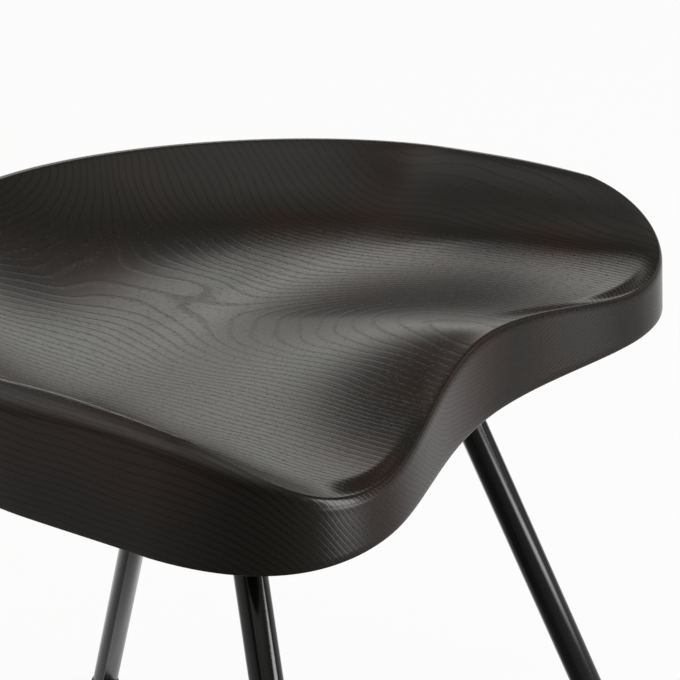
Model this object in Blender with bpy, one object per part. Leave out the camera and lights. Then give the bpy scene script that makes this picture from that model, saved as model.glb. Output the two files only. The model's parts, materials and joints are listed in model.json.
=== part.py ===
"""A low stool: a seat carved from one block of oak, on four splayed steel legs.

Metres, +Z up. The origin is on the floor, below the middle of the feet's box.
A sitter faces -Y and has their right hand at -X.
"""

import math

import bmesh
import bpy
from mathutils import Matrix, Vector

MM = 0.001
MERGE_DISTANCE = 0.001 * MM
SHARP_ANGLE = math.radians(35)

# Place of the seat over the floor
UNDERSIDE_HEIGHT = 430 * MM
SEAT_MIDDLE_Y = -10.3 * MM

# Rim crest of the seat, one half from the front notch round to the back.
# Each station: x, y, height over the underside, then the width of the wall inside it
# and the power of the wall's curve: 1 is a straight slope, and more is hollower.
# The pair between two stations holds the handles of the curve that joins them.
NOTCH_CREST = (0.0, -0.1780, 0.0470, 0.0180, 1.2)
NOTCH_CREST_HANDLE = (0.0500, -0.1780, 0.0470, 0.0180, 1.2)
LOBE_CREST_HANDLE_IN = (0.0970, -0.2010, 0.0280, 0.0080, 1.2)
LOBE_CREST = (0.1350, -0.2010, 0.0280, 0.0080, 1.2)
LOBE_CREST_HANDLE_OUT = (0.1870, -0.2010, 0.0280, 0.0080, 1.2)
HIP_CREST_HANDLE_IN = (0.1990, -0.1735, 0.0535, 0.0600, 2.2)
HIP_CREST = (0.2000, -0.1350, 0.0605, 0.0600, 2.2)
HIP_CREST_HANDLE_OUT = (0.1985, -0.0970, 0.0630, 0.0600, 2.2)
SIDE_CREST_HANDLE_IN = (0.1950, -0.0630, 0.0620, 0.0860, 3.1)
SIDE_CREST = (0.1950, -0.0300, 0.0600, 0.0860, 3.1)
SIDE_CREST_HANDLE_OUT = (0.1950, 0.0630, 0.0520, 0.0860, 3.1)
BACK_CREST_HANDLE = (0.0925, 0.1680, 0.0535, 0.1300, 3.4)
BACK_CREST = (0.0, 0.1680, 0.0535, 0.1300, 3.4)

# Lower edge of the seat, at the same stations
NOTCH_EDGE = (0.0, -0.1830)
NOTCH_EDGE_HANDLE = (0.0520, -0.1830)
LOBE_EDGE_HANDLE_IN = (0.1015, -0.2055)
LOBE_EDGE = (0.1360, -0.2055)
LOBE_EDGE_HANDLE_OUT = (0.1920, -0.2055)
HIP_EDGE_HANDLE_IN = (0.2120, -0.1665)
HIP_EDGE = (0.2145, -0.1200)
HIP_EDGE_HANDLE_OUT = (0.2150, -0.0950)
SIDE_EDGE_HANDLE_IN = (0.2160, -0.0700)
SIDE_EDGE = (0.2160, -0.0450)
SIDE_EDGE_HANDLE_OUT = (0.2160, 0.0750)
BACK_EDGE_HANDLE = (0.1080, 0.1870)
BACK_EDGE = (0.0, 0.1870)

# Top of the seat inside the rim: a shallow hollow that rises by these amounts at its reach,
# with thigh lobes that lift towards the front and a pommel ridge that runs up to the notch
DISH_CENTRE_Y = -0.025
FLOOR_THICKNESS = 19 * MM
HOLLOW_REACH = 0.2
HOLLOW_RISE_ACROSS = 8 * MM
HOLLOW_RISE_ALONG = 3 * MM
HOLLOW_MIDDLE_Y = -0.012
LOBE_LIFT = 3.5 * MM
LOBE_LIFT_START_Y = -0.015
LOBE_LIFT_END_Y = -0.190
POMMEL_HEIGHT = 12.5 * MM
POMMEL_HALF_WIDTH = 68 * MM
POMMEL_POWER = 1.25
POMMEL_FRONT_Y = -0.159
POMMEL_BACK_Y = 0.012

# Roundings of the crest, inside and outside, and of the lower edge
CREST_INNER_ROUND = 3 * MM
CREST_ROUND_SHARE = 0.62
CREST_ROUND_LEAST_DROP = 4 * MM
CREST_ROUND_DROP_SHARE = 0.65
LOWER_EDGE_ROUND = 2 * MM

# Mesh of the seat
STATIONS_PER_SPAN = (9, 10, 6, 15)
DISH_RINGS = 16
DISH_RING_CROWDING = 1.5
CREST_RINGS = 4
WALL_RINGS = 2
LOWER_ROUND_RINGS = 2

# Legs: the axis of each meets the underside at TOP and the floor at FOOT
LEG_DIAMETER = 18 * MM
LEG_WALL = 2 * MM
LEG_TOP_X = 94.5 * MM
LEG_FOOT_X = 198.6 * MM
FRONT_LEG_TOP_Y = -93.9 * MM
REAR_LEG_TOP_Y = 69 * MM
LEG_FOOT_Y = 241.1 * MM
LEG_SIDES = 32

# Mounting plates, let into the underside
PLATE_DIAMETER = 70 * MM
PLATE_THICKNESS = 5 * MM
PLATE_SIDES = 40
WELD_WIDTH = 4 * MM
WELD_TIP_WIDTH = 0.6 * MM
WELD_HEIGHT = 4 * MM
SCREW_EDGE_DISTANCE = 11 * MM
SCREWS_PER_PLATE = 3

# Fasteners
SCREW_DIAMETER = 6 * MM
SCREW_LENGTH = 12 * MM
SCREW_HEAD_DIAMETER = 11.5 * MM
SCREW_HEAD_HEIGHT = 3.2 * MM
HEX_SIDES = 6
HEX_SOCKET = 4 * MM
HEX_SOCKET_DEPTH = 2.2 * MM
SCREW_SIDES = 16
INSERT_DIAMETER = 10 * MM
INSERT_LENGTH = 9 * MM
PILOT_EXTRA_DEPTH = 1 * MM

# Foot glides
GLIDE_HEIGHT = 9 * MM
GLIDE_DIAMETER = 20 * MM
GLIDE_STEM_LENGTH = 22 * MM

# Fits
SEAT_GAP = 0.3 * MM
SCREW_HOLE_PLAY = 0.3 * MM
POCKET_PLAY = 0.5 * MM
CUT_OVERRUN = 2 * MM

OAK = ("stained_oak", (0.020, 0.016, 0.014), 0.42, 0.0)
LEG_PAINT = ("black_gloss_paint", (0.008, 0.008, 0.008), 0.16, 0.0)
ZINC = ("zinc_plated_steel", (0.55, 0.55, 0.53), 0.34, 1.0)
NYLON = ("black_nylon", (0.018, 0.018, 0.018), 0.55, 0.0)


def clear_scene():
    for old in list(bpy.data.objects):
        bpy.data.objects.remove(old, do_unlink=True)


def material(look):
    name, colour, roughness, metallic = look
    made = bpy.data.materials.get(name) or bpy.data.materials.new(name)
    made.use_nodes = True
    shader = made.node_tree.nodes["Principled BSDF"]
    shader.inputs["Base Color"].default_value = (*colour, 1.0)
    shader.inputs["Roughness"].default_value = roughness
    shader.inputs["Metallic"].default_value = metallic
    made.diffuse_color = (*colour, 1.0)
    return made


def make_object(name, bm, look):
    """A new object from the bmesh, with its faces pointing out."""
    bmesh.ops.recalc_face_normals(bm, faces=bm.faces)
    mesh = bpy.data.meshes.new(name)
    bm.to_mesh(mesh)
    bm.free()
    mesh.shade_smooth()
    mesh.set_sharp_from_angle(angle=SHARP_ANGLE)
    mesh.materials.append(material(look))
    made = bpy.data.objects.new(name, mesh)
    bpy.context.scene.collection.objects.link(made)
    return made


def hide_cutter(cutter):
    cutter.hide_render = True
    cutter.display_type = "WIRE"


def cut(target, cutter):
    hide_cutter(cutter)
    made = target.modifiers.new(cutter.name, "BOOLEAN")
    made.operation = "DIFFERENCE"
    made.solver = "EXACT"
    made.object = cutter


# Seat


def bezier(a, b, c, d, t):
    """A point of the cubic curve from a to d, in as many numbers as they hold."""
    s = 1 - t
    weights = (s * s * s, 3 * s * s * t, 3 * s * t * t, t * t * t)
    return [sum(w * p[k] for w, p in zip(weights, (a, b, c, d))) for k in range(len(a))]


CREST_SPANS = (
    (NOTCH_CREST, NOTCH_CREST_HANDLE, LOBE_CREST_HANDLE_IN, LOBE_CREST),
    (LOBE_CREST, LOBE_CREST_HANDLE_OUT, HIP_CREST_HANDLE_IN, HIP_CREST),
    (HIP_CREST, HIP_CREST_HANDLE_OUT, SIDE_CREST_HANDLE_IN, SIDE_CREST),
    (SIDE_CREST, SIDE_CREST_HANDLE_OUT, BACK_CREST_HANDLE, BACK_CREST),
)
EDGE_SPANS = (
    (NOTCH_EDGE, NOTCH_EDGE_HANDLE, LOBE_EDGE_HANDLE_IN, LOBE_EDGE),
    (LOBE_EDGE, LOBE_EDGE_HANDLE_OUT, HIP_EDGE_HANDLE_IN, HIP_EDGE),
    (HIP_EDGE, HIP_EDGE_HANDLE_OUT, SIDE_EDGE_HANDLE_IN, SIDE_EDGE),
    (SIDE_EDGE, SIDE_EDGE_HANDLE_OUT, BACK_EDGE_HANDLE, BACK_EDGE),
)


def closed_outline(spans):
    """Points right round the seat: one half from the curves, the other mirrored in X."""
    half = []
    for span, steps in zip(spans, STATIONS_PER_SPAN):
        half += [bezier(*span, step / steps) for step in range(steps)]
    half.append(list(spans[-1][-1]))
    mirrored = [[-point[0], *point[1:]] for point in reversed(half[1:-1])]
    return half + mirrored


def smooth_step(value):
    value = min(max(value, 0.0), 1.0)
    return value * value * (3 - 2 * value)


def floor_height(x, y):
    """Top of the dish without its rim, over the underside."""
    across = HOLLOW_RISE_ACROSS * (x / HOLLOW_REACH) ** 2
    along = HOLLOW_RISE_ALONG * ((y - HOLLOW_MIDDLE_Y) / HOLLOW_REACH) ** 2
    lift = smooth_step((LOBE_LIFT_START_Y - y) / (LOBE_LIFT_START_Y - LOBE_LIFT_END_Y))
    ridge = smooth_step((POMMEL_BACK_Y - y) / (POMMEL_BACK_Y - POMMEL_FRONT_Y))
    flank = math.exp(-((abs(x) / POMMEL_HALF_WIDTH) ** POMMEL_POWER))
    return FLOOR_THICKNESS + across + along + LOBE_LIFT * lift + POMMEL_HEIGHT * ridge * flank


def wall_share(distance, width, power):
    """How much of the rim's rise is left at this distance inside the crest, from 1 to 0."""
    eased = math.hypot(distance, CREST_INNER_ROUND) - CREST_INNER_ROUND
    eased_width = math.hypot(width, CREST_INNER_ROUND) - CREST_INNER_ROUND
    return max(1 - eased / eased_width, 0.0) ** power


def dish_point(station, share):
    """A point of the carved top, at this share of the way from the dish's centre to the crest."""
    crest_x, crest_y, crest_z, wall_width, wall_power = station
    x = crest_x * share
    y = DISH_CENTRE_Y + (crest_y - DISH_CENTRE_Y) * share
    from_crest = math.hypot(crest_x, crest_y - DISH_CENTRE_Y) * (1 - share)
    rise = crest_z - floor_height(crest_x, crest_y)
    left = wall_share(from_crest, wall_width, wall_power)
    return Vector((x, y, floor_height(x, y) + rise * left))


def side_points(station, edge):
    """The points of one station from the crest, over its rounding and down the side to the underside."""
    crest = Vector(station[:3])
    out = Vector((edge[0] - crest.x, edge[1] - crest.y, 0.0))
    reach = out.length
    out.normalize()
    round_reach = reach * CREST_ROUND_SHARE
    round_drop = CREST_ROUND_LEAST_DROP + CREST_ROUND_DROP_SHARE * round_reach
    points = []
    for ring in range(1, CREST_RINGS + 1):
        turn = math.pi / 2 * ring / CREST_RINGS
        drop = round_drop * (1 - math.cos(turn))
        points.append(crest + out * round_reach * math.sin(turn) - Vector((0, 0, drop)))
    wall_top = points[-1]
    wall_foot = Vector((edge[0], edge[1], LOWER_EDGE_ROUND))
    for ring in range(1, WALL_RINGS + 1):
        points.append(wall_top.lerp(wall_foot, ring / WALL_RINGS))
    for ring in range(1, LOWER_ROUND_RINGS + 1):
        turn = math.pi / 2 * ring / LOWER_ROUND_RINGS
        inward = LOWER_EDGE_ROUND * (1 - math.cos(turn))
        height = LOWER_EDGE_ROUND * (1 - math.sin(turn))
        points.append(Vector((edge[0], edge[1], height)) - out * inward)
    return points


def carved_block(name):
    """The seat without its pockets: a ring of points per level, extruded from level to level."""
    crest = closed_outline(CREST_SPANS)
    edge = closed_outline(EDGE_SPANS)
    sides = [side_points(*pair) for pair in zip(crest, edge)]
    levels = []
    for ring in range(1, DISH_RINGS + 1):
        share = 1 - (1 - ring / DISH_RINGS) ** DISH_RING_CROWDING
        levels.append([dish_point(station, share) for station in crest])
    levels += [list(level) for level in zip(*sides)]

    bm, first, last = stack_of_rings(levels)
    centre = bm.verts.new(dish_point(crest[0], 0.0))
    for index, vert in enumerate(first):
        bm.faces.new((centre, vert, first[(index + 1) % len(first)]))
    bm.faces.new(last)
    bmesh.ops.translate(bm, verts=bm.verts, vec=(0, SEAT_MIDDLE_Y, UNDERSIDE_HEIGHT))
    return make_object(name, bm, OAK)


def stack_of_rings(levels):
    """A skin through rings of points, open at both ends, with the points of its first and last ring."""
    bm = bmesh.new()
    first = bmesh.ops.create_circle(bm, segments=len(levels[0]), radius=1.0)["verts"]
    place_ring(first, levels[0])
    ring = first
    for level in levels[1:]:
        edges = [bm.edges.get((ring[i - 1], ring[i])) for i in range(len(ring))]
        grown = bmesh.ops.extrude_edge_only(bm, edges=edges)["geom"]
        ring = next_ring(ring, {v for v in grown if isinstance(v, bmesh.types.BMVert)})
        place_ring(ring, level)
    return bm, first, ring


def next_ring(ring, new_verts):
    """The new points in the order of the ring that they were extruded from."""
    return [
        next(edge.other_vert(vert) for edge in vert.link_edges if edge.other_vert(vert) in new_verts)
        for vert in ring
    ]


def place_ring(ring, points):
    for vert, point in zip(ring, points):
        vert.co = point


# Turned pieces


def turned(bm, profile, sides, place):
    """Turns a profile of (radius, z) about Z into a closed body and places it. Radius 0 ends make poles."""
    verts = [bm.verts.new((radius, 0.0, z)) for radius, z in profile]
    edges = [bm.edges.new(pair) for pair in zip(verts, verts[1:])]
    if profile[0][0] and profile[-1][0]:
        edges.append(bm.edges.new((verts[-1], verts[0])))
    bmesh.ops.spin(
        bm, geom=verts + edges, cent=(0, 0, 0), axis=(0, 0, 1),
        angle=2 * math.pi, steps=sides, use_merge=True,
    )
    bmesh.ops.remove_doubles(bm, verts=bm.verts, dist=MERGE_DISTANCE)
    bmesh.ops.transform(bm, matrix=place, verts=bm.verts)


def turned_object(name, profile, sides, place, look):
    bm = bmesh.new()
    turned(bm, profile, sides, place)
    return make_object(name, bm, look)


def leg_corners():
    """Name, X sign, top Y and foot Y of each leg, with left and right as the sitter has them."""
    return (
        ("front_left", 1, FRONT_LEG_TOP_Y, -LEG_FOOT_Y),
        ("front_right", -1, FRONT_LEG_TOP_Y, -LEG_FOOT_Y),
        ("rear_left", 1, REAR_LEG_TOP_Y, LEG_FOOT_Y),
        ("rear_right", -1, REAR_LEG_TOP_Y, LEG_FOOT_Y),
    )


def leg_line(sign, top_y, foot_y):
    """The leg's axis: where it meets the underside, and its direction down to the floor."""
    top = Vector((sign * LEG_TOP_X, top_y, UNDERSIDE_HEIGHT))
    foot = Vector((sign * LEG_FOOT_X, foot_y, 0.0))
    return top, (foot - top).normalized()


def along_leg(top, direction):
    """Matrix that takes Z to the leg's direction, with its origin at the leg's top."""
    turn = Vector((0, 0, 1)).rotation_difference(direction)
    return Matrix.Translation(top) @ turn.to_matrix().to_4x4()


def level_cut(bm, height, keep_above):
    """Cuts the body off level at a height and gives the edges of the open cut."""
    made = bmesh.ops.bisect_plane(
        bm, geom=bm.verts[:] + bm.edges[:] + bm.faces[:],
        plane_co=(0, 0, height), plane_no=(0, 0, 1),
        clear_inner=keep_above, clear_outer=not keep_above,
    )
    return [e for e in made["geom_cut"] if isinstance(e, bmesh.types.BMEdge)]


# Legs

PLATE_FACE_HEIGHT = UNDERSIDE_HEIGHT
LEG_TOP_HEIGHT = PLATE_FACE_HEIGHT - SEAT_GAP
LEG_FOOT_HEIGHT = GLIDE_HEIGHT + SEAT_GAP


def leg(name, top, direction):
    """A round tube, cut level under its plate and level over its glide."""
    outer = LEG_DIAMETER / 2
    inner = outer - LEG_WALL
    reach = UNDERSIDE_HEIGHT / -direction.z
    profile = (
        (outer, -2 * outer), (outer, reach + 2 * outer),
        (inner, reach + 2 * outer), (inner, -2 * outer),
    )
    bm = bmesh.new()
    turned(bm, profile, LEG_SIDES, along_leg(top, direction))
    for height, keep_above in ((LEG_TOP_HEIGHT, False), (LEG_FOOT_HEIGHT, True)):
        rim = level_cut(bm, height, keep_above)
        bmesh.ops.bridge_loops(bm, edges=rim)
    return make_object(name, bm, LEG_PAINT)


# Mounting plates


def screw_places(top, direction):
    """The centres of one plate's screws, clear of the side that the leg leans to."""
    lean = math.atan2(direction.y, direction.x)
    circle_radius = PLATE_DIAMETER / 2 - SCREW_EDGE_DISTANCE
    places = []
    for index in range(SCREWS_PER_PLATE):
        angle = lean + math.pi * (2 * index + 1) / SCREWS_PER_PLATE
        places.append(top + circle_radius * Vector((math.cos(angle), math.sin(angle), 0)))
    return places


def plate(name, top, direction):
    """A round plate with a weld bead round the leg's end and a countersunk hole for each screw."""
    radius = PLATE_DIAMETER / 2
    disc = turned_object(
        name,
        ((0, PLATE_THICKNESS), (radius, PLATE_THICKNESS), (radius, 0), (0, 0)),
        PLATE_SIDES,
        Matrix.Translation((top.x, top.y, PLATE_FACE_HEIGHT)),
        ZINC,
    )
    add_weld_bead(disc, top, direction)
    hole = SCREW_DIAMETER / 2 + SCREW_HOLE_PLAY
    head = SCREW_HEAD_DIAMETER / 2 + SCREW_HOLE_PLAY
    sink = SCREW_HEAD_HEIGHT
    profile = (
        (0, PLATE_THICKNESS + CUT_OVERRUN), (hole, PLATE_THICKNESS + CUT_OVERRUN),
        (hole, sink), (head, 0), (head, -CUT_OVERRUN), (0, -CUT_OVERRUN),
    )
    for index, place in enumerate(screw_places(top, direction), 1):
        at = Matrix.Translation((place.x, place.y, PLATE_FACE_HEIGHT))
        cut(disc, turned_object(f"{name}_hole_{index}", profile, SCREW_SIDES, at, ZINC))
    return disc


def ring_on_leg(top, direction, radius, height):
    """Points at one level on a tube of this radius round the leg's axis."""
    matrix = along_leg(top, direction)
    points = []
    for side in range(LEG_SIDES):
        turn = 2 * math.pi * side / LEG_SIDES
        point = matrix @ Vector((radius * math.cos(turn), radius * math.sin(turn), 0.0))
        points.append(point + direction * (height - point.z) / direction.z)
    return points


def leg_shaped_solid(name, top, direction, rings):
    """A closed body through level rings round the leg's axis, each given as radius and height."""
    levels = [ring_on_leg(top, direction, radius, height) for radius, height in rings]
    bm, first, last = stack_of_rings(levels)
    bm.faces.new(first)
    bm.faces.new(last)
    return make_object(name, bm, ZINC)


def add_weld_bead(disc, top, direction):
    """Joins a tapered bead to the plate round the leg, then clears the leg's own space."""
    face = PLATE_FACE_HEIGHT
    leg_space = LEG_DIAMETER / 2 + SEAT_GAP
    root = leg_space + WELD_WIDTH
    tip = leg_space + WELD_TIP_WIDTH
    bead_rings = ((root, face + PLATE_THICKNESS / 2), (root, face), (tip, face - WELD_HEIGHT))
    bead = leg_shaped_solid(f"{disc.name}_bead", top, direction, bead_rings)
    hide_cutter(bead)
    joined = disc.modifiers.new("bead", "BOOLEAN")
    joined.operation = "UNION"
    joined.solver = "EXACT"
    joined.object = bead
    space_rings = ((leg_space, face), (leg_space, face - LEG_DIAMETER))
    cut(disc, leg_shaped_solid(f"{disc.name}_leg_space", top, direction, space_rings))


# Screws and threaded inserts


def screw(name, place):
    """A countersunk screw with a hexagon socket, driven up from below."""
    shank = SCREW_DIAMETER / 2
    head = SCREW_HEAD_DIAMETER / 2
    sink = SCREW_HEAD_HEIGHT
    profile = (
        (0, SCREW_LENGTH), (shank, SCREW_LENGTH), (shank, sink), (head, SEAT_GAP), (0, SEAT_GAP),
    )
    at = Matrix.Translation((place.x, place.y, PLATE_FACE_HEIGHT))
    made = turned_object(name, profile, SCREW_SIDES, at, ZINC)
    socket_radius = HEX_SOCKET / math.sqrt(3)
    socket_top = SEAT_GAP + HEX_SOCKET_DEPTH
    socket = (
        (0, socket_top), (socket_radius, socket_top),
        (socket_radius, -CUT_OVERRUN), (0, -CUT_OVERRUN),
    )
    cut(made, turned_object(f"{name}_socket", socket, HEX_SIDES, at, ZINC))
    return made


def insert(name, place):
    """A threaded insert let into the seat above the plate."""
    outer = INSERT_DIAMETER / 2
    inner = SCREW_DIAMETER / 2 + SEAT_GAP
    foot = PLATE_THICKNESS + SEAT_GAP
    tip = foot + INSERT_LENGTH
    profile = ((outer, tip), (outer, foot), (inner, foot), (inner, tip))
    at = Matrix.Translation((place.x, place.y, PLATE_FACE_HEIGHT))
    return turned_object(name, profile, SCREW_SIDES, at, ZINC)


def cut_pocket(seat, name, top, direction):
    """The pocket of one plate in the underside, with a blind hole for each insert."""
    radius = PLATE_DIAMETER / 2 + POCKET_PLAY
    depth = PLATE_THICKNESS + SEAT_GAP
    profile = ((0, depth), (radius, depth), (radius, -CUT_OVERRUN), (0, -CUT_OVERRUN))
    at = Matrix.Translation((top.x, top.y, PLATE_FACE_HEIGHT))
    cut(seat, turned_object(f"pocket_{name}", profile, PLATE_SIDES, at, OAK))
    hole = INSERT_DIAMETER / 2 + SEAT_GAP
    hole_top = depth + INSERT_LENGTH + PILOT_EXTRA_DEPTH
    for index, place in enumerate(screw_places(top, direction), 1):
        pilot = ((0, hole_top), (hole, hole_top), (hole, 0), (0, 0))
        at = Matrix.Translation((place.x, place.y, PLATE_FACE_HEIGHT))
        cut(seat, turned_object(f"pilot_{name}_{index}", pilot, SCREW_SIDES, at, OAK))


# Foot glides


def glide(name, top, direction):
    """A nylon foot under the tube, cut level on the floor, with a stem up the bore."""
    stem = LEG_DIAMETER / 2 - LEG_WALL - SEAT_GAP
    reach = UNDERSIDE_HEIGHT / -direction.z
    radius = GLIDE_DIAMETER / 2
    upper, lower = reach - 2 * radius, reach + radius
    foot_profile = ((0, upper), (radius, upper), (radius, lower), (0, lower))
    bm = bmesh.new()
    turned(bm, foot_profile, LEG_SIDES, along_leg(top, direction))
    for height, keep_above in ((GLIDE_HEIGHT, False), (0.0, True)):
        rim = level_cut(bm, height, keep_above)
        bmesh.ops.edgeloop_fill(bm, edges=rim)
    made = make_object(name, bm, NYLON)
    stem_top = reach - GLIDE_HEIGHT / -direction.z - GLIDE_STEM_LENGTH
    bm = bmesh.new()
    stem_profile = ((0, stem_top), (stem, stem_top), (stem, reach), (0, reach))
    turned(bm, stem_profile, LEG_SIDES, along_leg(top, direction))
    rim = level_cut(bm, GLIDE_HEIGHT / 2, True)
    bmesh.ops.edgeloop_fill(bm, edges=rim)
    stem_solid = make_object(f"{name}_stem", bm, NYLON)
    hide_cutter(stem_solid)
    joined = made.modifiers.new("stem", "BOOLEAN")
    joined.operation = "UNION"
    joined.solver = "EXACT"
    joined.object = stem_solid
    return made


def main():
    clear_scene()
    seat = carved_block("seat")
    for corner, sign, top_y, foot_y in leg_corners():
        top, direction = leg_line(sign, top_y, foot_y)
        cut_pocket(seat, corner, top, direction)
        plate(f"plate_{corner}", top, direction)
        leg(f"leg_{corner}", top, direction)
        glide(f"glide_{corner}", top, direction)
        for index, place in enumerate(screw_places(top, direction), 1):
            screw(f"screw_{corner}_{index}", place)
            insert(f"insert_{corner}_{index}", place)


main()
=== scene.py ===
# %% [markdown]
# # A carved oak stool
#
# This file dresses the imported CAD model of a low stool: a seat carved from one thick block of oak and
# stained near black, on four splayed steel legs in gloss black. The CAD model gives every piece its
# size and place. Here each piece gets its fine surface and its finish, and the whole gets a camera and
# a studio. We begin by loading the model.

# %% Load the imported model
import json
import math

import bmesh
import bpy
from mathutils import Matrix, Vector

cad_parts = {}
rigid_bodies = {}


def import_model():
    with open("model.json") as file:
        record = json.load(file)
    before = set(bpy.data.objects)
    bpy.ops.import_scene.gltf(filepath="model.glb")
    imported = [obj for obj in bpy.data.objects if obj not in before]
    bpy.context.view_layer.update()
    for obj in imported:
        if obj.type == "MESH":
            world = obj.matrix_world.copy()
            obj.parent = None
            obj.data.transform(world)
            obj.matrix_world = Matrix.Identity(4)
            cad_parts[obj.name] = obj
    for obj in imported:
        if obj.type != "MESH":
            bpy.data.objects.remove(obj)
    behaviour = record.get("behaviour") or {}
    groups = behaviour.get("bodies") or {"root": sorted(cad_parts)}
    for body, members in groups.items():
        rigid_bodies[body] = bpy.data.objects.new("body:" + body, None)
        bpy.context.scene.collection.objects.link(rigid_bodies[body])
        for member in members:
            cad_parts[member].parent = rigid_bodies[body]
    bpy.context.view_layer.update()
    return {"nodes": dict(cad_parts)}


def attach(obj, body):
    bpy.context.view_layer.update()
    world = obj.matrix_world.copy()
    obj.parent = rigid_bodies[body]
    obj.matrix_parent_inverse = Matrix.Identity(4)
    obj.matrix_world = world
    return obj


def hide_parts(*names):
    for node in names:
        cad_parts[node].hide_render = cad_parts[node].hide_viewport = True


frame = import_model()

MM = 0.001
scene = bpy.context.scene
scene.view_settings.view_transform = "Standard"
print("CAD nodes:", len(frame["nodes"]))

# %% [markdown]
# ## The camera
#
# The photograph looks down on the seat from its front right, from fairly close by. A camera is found
# most surely from straight things: the edges of the three legs that show gave the direction, the
# distance and the lens. It is kept as plain numbers, in the same frame as the stool.

# %% Place the camera
CAMERA_PLACE = (-0.98344, -0.73813, 0.99830)
CAMERA_AZIMUTH = math.radians(-57)
CAMERA_ELEVATION = math.radians(25)
CAMERA_LENS, FILM_WIDTH = 127.06, 36

camera = bpy.data.objects.new("camera", bpy.data.cameras.new("camera"))
scene.collection.objects.link(camera)
camera.location = CAMERA_PLACE
camera.rotation_euler = (math.pi / 2 - CAMERA_ELEVATION, 0, CAMERA_AZIMUTH)
camera.data.sensor_width = FILM_WIDTH
camera.data.lens = CAMERA_LENS
scene.camera = camera
print("camera lens, mm:", camera.data.lens)

# %% [markdown]
# ## Helpers for node materials
#
# A finish is a small network of nodes that ends in a Principled shader. A few short helpers keep the
# cells below readable: each adds one kind of node and joins its sockets. The last one turns a bmesh
# into an object.


# %% Add and join nodes
def add_node(tree, kind, settings=None, **inputs):
    """Adds a node, sets its own settings and the values of its named inputs."""
    node = tree.nodes.new(kind)
    for name, value in (settings or {}).items():
        setattr(node, name, value)
    for name, value in inputs.items():
        node.inputs[name.replace("_", " ")].default_value = value
    return node


def join(tree, source, target):
    tree.links.new(source, target)


def new_finish(name, colour, roughness, metallic=0.0):
    """A material with a Principled shader, whose constant values sit on its own sockets."""
    made = bpy.data.materials.new(name)
    made.use_nodes = True
    shader = made.node_tree.nodes["Principled BSDF"]
    shader.inputs["Base Color"].default_value = (*colour, 1.0)
    shader.inputs["Roughness"].default_value = roughness
    shader.inputs["Metallic"].default_value = metallic
    return made, made.node_tree, shader


def colour_ramp(tree, stops):
    """A colour ramp with the given stops, each a place from 0 to 1 and a grey level."""
    node = tree.nodes.new("ShaderNodeValToRGB")
    ramp = node.color_ramp
    for index, (place, level) in enumerate(stops):
        stop = ramp.elements[index] if index < 2 else ramp.elements.new(place)
        stop.position = place
        stop.color = (level, level, level, 1.0)
    return node


def place_on(tree):
    """The place on an object, in metres."""
    return add_node(tree, "ShaderNodeTexCoord").outputs["Object"]


def stretched(tree, place, scale):
    """The place with each of its three numbers multiplied by its own scale."""
    node = add_node(tree, "ShaderNodeMapping", Scale=scale)
    join(tree, place, node.inputs["Vector"])
    return node.outputs["Vector"]


def noise(tree, place, scale, detail, roughness):
    """A cloudy noise that is read at a place."""
    node = add_node(
        tree, "ShaderNodeTexNoise", Scale=scale, Detail=detail, Roughness=roughness,
    )
    join(tree, place, node.inputs["Vector"])
    return node


def between(tree, source, low, high):
    """Spreads a value that runs from 0 to 1 over the levels from low to high."""
    node = add_node(tree, "ShaderNodeMapRange", To_Min=low, To_Max=high)
    join(tree, source, node.inputs["Value"])
    return node.outputs["Result"]


def mixed(tree, share, first, second):
    """A colour between two, each a socket or three numbers, with this share of the second."""
    node = add_node(tree, "ShaderNodeMix", {"data_type": "RGBA"})
    join(tree, share, node.inputs["Factor"])
    for name, colour in (("A", first), ("B", second)):
        if isinstance(colour, bpy.types.NodeSocket):
            join(tree, colour, node.inputs[name])
        else:
            node.inputs[name].default_value = (*colour, 1.0)
    return node.outputs["Result"]


def ripple(tree, shader, height, strength, depth):
    """Tilts the shader's surface as if it rose and fell with the height."""
    node = add_node(tree, "ShaderNodeBump", Strength=strength, Distance=depth)
    join(tree, height, node.inputs["Height"])
    join(tree, node.outputs["Normal"], shader.inputs["Normal"])


def new_object(name, bm):
    mesh = bpy.data.meshes.new(name)
    bm.to_mesh(mesh)
    bm.free()
    made = bpy.data.objects.new(name, mesh)
    scene.collection.objects.link(made)
    return made


print("helpers ready")

# %% [markdown]
# ## The studio
#
# The stool stands on white paper in a photographer's studio. Its dark seat shows little colour of its
# own: almost all that we see on it is the room, mirrored in the varnish. So the room is worth building
# with care. It has four sides, each with its own brightness from the floor up to the zenith. Behind the
# stool, as the camera looks, a wide bright band stands at about 16 to 28 degrees over the horizon: it is
# what gleams in the bottom of the dish. The left side is a pale wall, the right side is dim, and the
# camera's side is dark below and bright overhead. The camera itself sees plain white.

# %% Measure directions in the room
TO_THE_BACK = (-math.sin(CAMERA_AZIMUTH), math.cos(CAMERA_AZIMUTH), 0.0)
TO_THE_RIGHT = (math.cos(CAMERA_AZIMUTH), math.sin(CAMERA_AZIMUTH), 0.0)
# Keeps the shares of the sides finite straight up and straight down
NEAR_ZERO = 0.000001


def maths(tree, operation, first, second=0.0):
    """One step of arithmetic on two sockets or numbers."""
    node = add_node(tree, "ShaderNodeMath", {"operation": operation})
    for socket, value in zip(node.inputs, (first, second)):
        if isinstance(value, bpy.types.NodeSocket):
            join(tree, value, socket)
        else:
            socket.default_value = value
    return node.outputs[0]


def fade(tree, source, start, end):
    """A soft step from 0, where the value is at the start, to 1 at the end."""
    node = add_node(tree, "ShaderNodeMapRange", {"interpolation_type": "SMOOTHSTEP"})
    node.inputs["From Min"].default_value = min(start, end)
    node.inputs["From Max"].default_value = max(start, end)
    node.inputs["To Min"].default_value = 0.0 if start < end else 1.0
    node.inputs["To Max"].default_value = 1.0 if start < end else 0.0
    join(tree, source, node.inputs["Value"])
    return node.outputs["Result"]


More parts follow.
